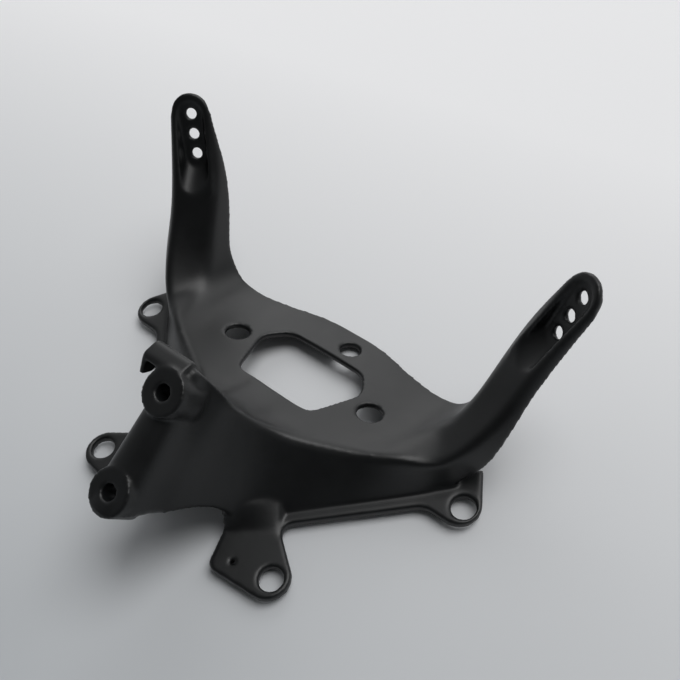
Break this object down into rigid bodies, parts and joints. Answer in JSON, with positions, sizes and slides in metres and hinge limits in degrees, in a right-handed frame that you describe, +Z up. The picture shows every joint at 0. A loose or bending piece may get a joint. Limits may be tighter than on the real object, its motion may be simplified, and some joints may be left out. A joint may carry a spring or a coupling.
{
  "type": "fairing stay",
  "caption": "Cast stay for a motorbike's nose fairing: sloping plate with a window, upswept side arms with sunk hole pads, drilled lugs and a raked head with bolt bosses.",
  "frame": {"origin": "centre of the upper head boss's face, on the plane of symmetry", "axes": "+X to the rider's right, +Y forward, +Z up with the four lugs level"},
  "size_m": [0.29, 0.2187, 0.1121],
  "materials": {
    "black_casting": "satin black powder coat on cast aluminium"
  },
  "bodies": {
    "root": {"fairing_stay": "black_casting"}
  },
  "joints": []
}
